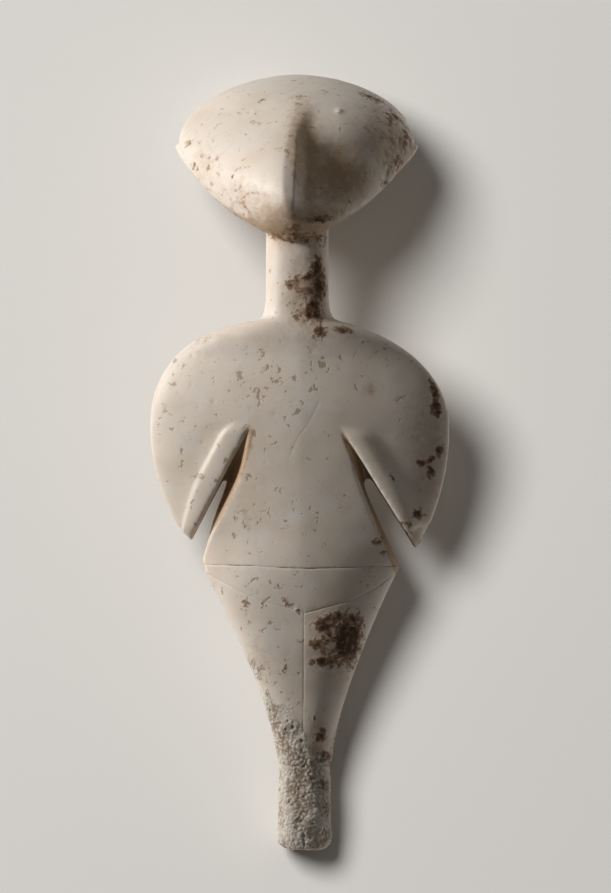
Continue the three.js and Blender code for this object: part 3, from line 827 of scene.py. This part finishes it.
def ease(tree, value, start, end):
    # 0 below start, 1 above end
    node = tree.nodes.new("ShaderNodeMapRange")
    node.interpolation_type = "SMOOTHSTEP"
    socketOf(tree, value, node.inputs["Value"])
    socketOf(tree, start, node.inputs["From Min"])
    socketOf(tree, end, node.inputs["From Max"])
    return node.outputs["Result"]


def blendColours(tree, factor, first, second):
    node = tree.nodes.new("ShaderNodeMix")
    node.data_type = "RGBA"
    socketOf(tree, factor, node.inputs[0])
    socketOf(tree, first, node.inputs[6])
    socketOf(tree, second, node.inputs[7])
    return node.outputs[2]


def noise(tree, coords, perMm, detail=3, roughness=0.55, distortion=0.0):
    node = tree.nodes.new("ShaderNodeTexNoise")
    tree.links.new(coords, node.inputs["Vector"])
    node.inputs["Scale"].default_value = perMm
    node.inputs["Detail"].default_value = detail
    node.inputs["Roughness"].default_value = roughness
    node.inputs["Distortion"].default_value = distortion
    return node.outputs["Fac"]


def mask(tree, name):
    node = tree.nodes.new("ShaderNodeAttribute")
    node.attribute_name = name
    return node.outputs["Fac"]


def millimetres(tree, offset=(0, 0, 0)):
    # object coordinates in millimetres
    place = tree.nodes.new("ShaderNodeTexCoord")
    mapping = tree.nodes.new("ShaderNodeMapping")
    mapping.inputs["Scale"].default_value = (1000, 1000, 1000)
    mapping.inputs["Location"].default_value = offset
    tree.links.new(place.outputs["Object"], mapping.inputs["Vector"])
    return mapping.outputs["Vector"]


marbleFinish = {
    "ivory": (0.80, 0.72, 0.64, 1), "cream": (0.75, 0.655, 0.555, 1), "cloud": (0.79, 0.735, 0.68, 1),
    "vein": (0.62, 0.56, 0.50, 1),
    # tan colours both the real washes and the painted shade on the face and under the chin
    "tanAndShade": (0.45, 0.285, 0.155, 1), "root": (0.33, 0.205, 0.112, 1),
    # earth colours both the stains and the painted shadow along the chin's lower edge
    "halo": (0.33, 0.195, 0.108, 1), "earthAndShadow": (0.085, 0.043, 0.023, 1),
    "lineDirt": (0.20, 0.115, 0.06, 1),
    "limePit": (0.31, 0.235, 0.17, 1), "lime": (0.60, 0.54, 0.47, 1), "limeTop": (0.76, 0.715, 0.65, 1),
    # how far each layer covers the ones under it
    "veinCover": 0.22, "speckleCover": 0.3, "tanAndShadeCover": 0.85, "rootCover": 0.6, "haloCover": 0.9,
    "earthAndShadowCover": 0.95, "lineCover": 0.85, "limeCover": 0.92,
    # scales of the noises, the higher the finer
    "patches": 0.07, "clouds": 0.11, "veins": 0.035, "speckles": 1.6, "blotches": 0.55, "clusters": 0.3,
    "specks": 0.6, "curls": 0.22, "rags": 0.78, "crumbs": 1.9, "crystals": 3.2,
    # the last one adds tan in hollows, by how far a point lies below its neighbours
    "blotchStrength": 1.15, "ragStrength": 2.3, "hollowDarkening": 0.25,
    "roughness": 0.5, "roughnessVaries": 0.25, "dulling": 0.45,
    # relief finer than the mesh, as shares of the bump's height in metres
    "bumpHeight": 0.00010, "crystalBump": 0.12, "rootBump": 0.5, "earthBump": 1.1, "limeBump": 1.8,
    "glow": 0.35, "glowColour": (1.0, 0.72, 0.48), "glowDepth": 0.0022, "ior": 1.5,
}


def times(tree, a, b):
    return calc(tree, "MULTIPLY", a, b)


def plus(tree, a, b):
    return calc(tree, "ADD", a, b)


def fromMiddle(tree, value):
    # a noise as a value round 0
    return calc(tree, "SUBTRACT", value, 0.5)


def bareStone(tree, mm, speckle):
    # ivory with creamier and cloudier patches and a few faint veins
    f = marbleFinish
    patches = noise(tree, mm, f["patches"], 4, 0.55, 0.4)
    colour = blendColours(tree, ease(tree, patches, 0.42, 0.66), f["ivory"], f["cream"])
    clouds = noise(tree, millimetres(tree, (31, 7, 3)), f["clouds"], 3)
    colour = blendColours(tree, ease(tree, clouds, 0.5, 0.75), colour, f["cloud"])
    vein = calc(tree, "ABSOLUTE", fromMiddle(tree, noise(tree, mm, f["veins"], 3, 0.5, 1.6)))
    onVein = calc(tree, "SUBTRACT", 1.0, ease(tree, vein, 0.0, 0.012))
    colour = blendColours(tree, times(tree, onVein, f["veinCover"]), colour, f["vein"])
    speckled = times(tree, ease(tree, speckle, 0.45, 0.8), f["speckleCover"])
    return blendColours(tree, speckled, colour, f["cream"])


def tanWashAndShade(tree, blotches):
    # where the stone is tan, from real washes and from painted shade under the chin and on the face: broken
    # up, and stronger in hollows
    f = marbleFinish
    soilAndShade = plus(tree, mask(tree, "soilAndShade"), times(tree, mask(tree, "hollow"), f["hollowDarkening"]))
    broken = times(tree, fromMiddle(tree, blotches), f["blotchStrength"])
    return ease(tree, plus(tree, soilAndShade, broken), 0.1, 1.0)


def rootMarks(tree, mm):
    # small ragged specks in clusters, a few short threads along the contours of a noise, and the worn pits
    f = marbleFinish
    cluster = noise(tree, millimetres(tree, (5, 19, 2)), f["clusters"], 2, 0.5)
    keep = ease(tree, plus(tree, cluster, times(tree, mask(tree, "roots"), 0.24)), 0.56, 0.72)
    speck = noise(tree, millimetres(tree, (2, 3, 23)), f["specks"], 3, 0.58, 0.3)
    specks = ease(tree, plus(tree, speck, times(tree, keep, 0.13)), 0.70, 0.77)
    contour = calc(tree, "ABSOLUTE", fromMiddle(tree, noise(tree, mm, f["curls"], 2, 0.5, 0.3)))
    thread = calc(tree, "SUBTRACT", 1.0, ease(tree, contour, 0.003, 0.028))
    pieces = ease(tree, plus(tree, speck, times(tree, keep, 0.1)), 0.60, 0.68)
    marks = calc(tree, "MAXIMUM", times(tree, thread, pieces), specks)
    return calc(tree, "MAXIMUM", marks, times(tree, mask(tree, "pit"), 0.5), clamp=True)


def earthAndShadowCover(tree, ragged):
    # the soft ovals with ragged edges, stains and the painted shadow along the chin's lower edge: the whole
    # stain, and its dark middle
    stainAndShadow = mask(tree, "stainAndShadow")
    field = plus(tree, stainAndShadow, times(tree, fromMiddle(tree, ragged), marbleFinish["ragStrength"]))
    stainedAndShaded = times(tree, ease(tree, field, 0.36, 0.66), ease(tree, stainAndShadow, 0.08, 0.3))
    deep = times(tree, ease(tree, field, 0.62, 1.08), ease(tree, stainAndShadow, 0.2, 0.45))
    return stainedAndShaded, deep


def limeColour(tree, crumbs):
    # whitish on top of its crumbs, brown down between them
    f = marbleFinish
    height = plus(tree, mask(tree, "crumb"), fromMiddle(tree, crumbs))
    colour = blendColours(tree, ease(tree, height, 0.0, 0.26), f["limePit"], f["lime"])
    return blendColours(tree, ease(tree, height, 0.25, 0.75), colour, f["limeTop"])


def fineBump(tree, crystals, layers):
    # crystal grain, sunk root marks, grainy earth and crust: each layer is a share and what it scales
    height = times(tree, crystals, marbleFinish["crystalBump"])
    for share, layer in layers:
        height = plus(tree, height, times(tree, layer, share))
    bump = tree.nodes.new("ShaderNodeBump")
    bump.inputs["Strength"].default_value = 1.0
    bump.inputs["Distance"].default_value = marbleFinish["bumpHeight"]
    tree.links.new(height, bump.inputs["Height"])
    return bump.outputs["Normal"]


def marble():
    f = marbleFinish
    material = bpy.data.materials.new("weathered marble")
    material.use_nodes = True
    tree = material.node_tree
    shader = tree.nodes["Principled BSDF"]
    mm = millimetres(tree)
    speckle = noise(tree, mm, f["speckles"], 4, 0.7)
    blotches = noise(tree, mm, f["blotches"], 5, 0.65, 0.3)
    ragged = noise(tree, mm, f["rags"], 5, 0.62, 0.35)
    crumbs = noise(tree, mm, f["crumbs"], 4, 0.7)
    roots = rootMarks(tree, mm)
    stainedAndShaded, deep = earthAndShadowCover(tree, ragged)
    lineDirt = times(tree, ease(tree, mask(tree, "groove"), 0.3, 0.85), ease(tree, blotches, 0.3, 0.5))
    crust = ease(tree, plus(tree, mask(tree, "lime"), fromMiddle(tree, crumbs)), 0.25, 0.55)
    crust = times(tree, crust, calc(tree, "SUBTRACT", 1.0, times(tree, deep, 0.8)))

    colour = bareStone(tree, mm, speckle)
    # tan washes, and painted shade under the chin and on the face
    colour = blendColours(tree, times(tree, tanWashAndShade(tree, blotches), f["tanAndShadeCover"]), colour, f["tanAndShade"])
    colour = blendColours(tree, times(tree, roots, f["rootCover"]), colour, f["root"])
    colour = blendColours(tree, times(tree, stainedAndShaded, f["haloCover"]), colour, f["halo"])
    # dark earth, and the painted shadow along the chin's lower edge
    colour = blendColours(tree, times(tree, deep, f["earthAndShadowCover"]), colour, f["earthAndShadow"])
    colour = blendColours(tree, times(tree, lineDirt, f["lineCover"]), colour, f["lineDirt"])
    colour = blendColours(tree, times(tree, crust, f["limeCover"]), colour, limeColour(tree, crumbs))
    tree.links.new(colour, shader.inputs["Base Color"])

    # rubbed marble shines a little, earth and crust don't
    dull = calc(tree, "MAXIMUM", times(tree, stainedAndShaded, 0.75), crust)
    rough = plus(tree, f["roughness"], times(tree, fromMiddle(tree, speckle), f["roughnessVaries"]))
    rough = calc(tree, "ADD", rough, times(tree, dull, f["dulling"]), clamp=True)
    tree.links.new(rough, shader.inputs["Roughness"])

    bumps = [(-f["rootBump"], roots), (f["earthBump"], times(tree, stainedAndShaded, ragged)),
             (f["limeBump"], times(tree, crust, crumbs))]
    tree.links.new(fineBump(tree, noise(tree, mm, f["crystals"], 3, 0.6), bumps), shader.inputs["Normal"])

    shader.inputs["Subsurface Weight"].default_value = f["glow"]
    shader.inputs["Subsurface Radius"].default_value = f["glowColour"]
    shader.inputs["Subsurface Scale"].default_value = f["glowDepth"]
    shader.inputs["IOR"].default_value = f["ior"]
    return material


# places and directions of the key light and camera are on the standing figure, the others' in the frame
studio = {
    "floor": (0.78, 0.765, 0.74, 1), "floorSize": 6.0, "floorRoughness": 0.9,
    "world": (1.0, 0.95, 0.88, 1), "worldStrength": 0.05,
    "keyFrom": (-0.90, 0.32, 0.33), "keyDistance": 0.5, "keySize": 0.12, "keyPower": 2.6,
    "keyAim": (-6, 125, 0), "keyColour": (1.0, 0.97, 0.93), "fillColour": (1.0, 0.95, 0.88),
    "fillFrom": (0.35, 0.1, 1.0), "fillDistance": 1.1, "fillSize": 0.9, "fillPower": 0.45,
    "floorFrom": (-0.42, 0.2, 0.9), "floorDistance": 1.6, "floorLightSize": 0.8, "floorPower": 22.0,
    "floorLightColour": (1.0, 0.99, 0.97),
    "sensor": 36, "farthest": 20, "distance": 3.0, "aim": (1.22, 89.0, 0.0), "viewHeight": 197.9,
}


def figurePoint(point, place):
    # a place on the standing figure, in millimetres, as a place in the frame
    angle, scale, shift = place
    return Vector((tipBack(np.array([point], float), angle)[0] * scale + shift).tolist())


def figureDirection(direction, place):
    return Vector(tipBack(np.array([direction], float), place[0])[0].tolist()).normalized()


def areaLight(name, target, direction, distance, size, power, colour):
    data = bpy.data.lights.new(name, "AREA")
    data.shape = "DISK"
    data.size = size
    data.energy = power
    data.color = colour
    light = bpy.data.objects.new(name, data)
    light.location = target + direction * distance
    light.rotation_euler = direction.to_track_quat("Z", "Y").to_euler()
    light.visible_camera = False
    bpy.context.scene.collection.objects.link(light)
    return light


def shineOnlyOn(light, obj):
    only = bpy.data.collections.new(light.name + " only")
    only.objects.link(obj)
    light.light_linking.receiver_collection = only


def makeStudio(stone, place):
    size = studio["floorSize"]
    mesh = bpy.data.meshes.new("floor")
    corners = [(-size, -size, 0), (size, -size, 0), (size, size, 0), (-size, size, 0)]
    mesh.from_pydata(corners, [], [(0, 1, 2, 3)])
    floor = bpy.data.objects.new("floor", mesh)
    bpy.context.scene.collection.objects.link(floor)
    card = bpy.data.materials.new("pale floor")
    card.use_nodes = True
    shader = card.node_tree.nodes["Principled BSDF"]
    shader.inputs["Base Color"].default_value = studio["floor"]
    shader.inputs["Roughness"].default_value = studio["floorRoughness"]
    mesh.materials.append(card)

    world = bpy.data.worlds.new("studio")
    world.use_nodes = True
    background = world.node_tree.nodes["Background"]
    background.inputs["Color"].default_value = studio["world"]
    background.inputs["Strength"].default_value = studio["worldStrength"]
    bpy.context.scene.world = world

    target = figurePoint(studio["aim"], place)
    keyTarget = figurePoint(studio["keyAim"], place)
    key = areaLight("key", keyTarget, figureDirection(studio["keyFrom"], place), studio["keyDistance"],
                    studio["keySize"], studio["keyPower"], studio["keyColour"])
    shineOnlyOn(key, stone)
    areaLight("fill", target, Vector(studio["fillFrom"]).normalized(), studio["fillDistance"],
              studio["fillSize"], studio["fillPower"], studio["fillColour"])

    # a soft light of its own for the floor, so that it stays evenly pale beside the low key light
    onFloor = areaLight("floor light", target, Vector(studio["floorFrom"]).normalized(),
                        studio["floorDistance"], studio["floorLightSize"], studio["floorPower"],
                        studio["floorLightColour"])
    shineOnlyOn(onFloor, floor)

    data = bpy.data.cameras.new("camera")
    data.sensor_width = studio["sensor"]
    data.lens = studio["sensor"] * studio["distance"] / (studio["viewHeight"] * place[1])
    data.clip_end = studio["farthest"]
    camera = bpy.data.objects.new("camera", data)
    camera.location = target + figureDirection((0, 0, 1), place) * studio["distance"]
    camera.rotation_euler = (place[0], 0, 0)
    bpy.context.scene.collection.objects.link(camera)
    bpy.context.scene.camera = camera
    bpy.context.scene.view_settings.view_transform = "Standard"


stone, angle, scale, shift = makeStone()
stone.data.materials.clear()
stone.data.materials.append(marble())
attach(stone, "root")
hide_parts("figurine")
print("finish applied")

makeStudio(stone, (angle, scale, shift))
print("studio set")
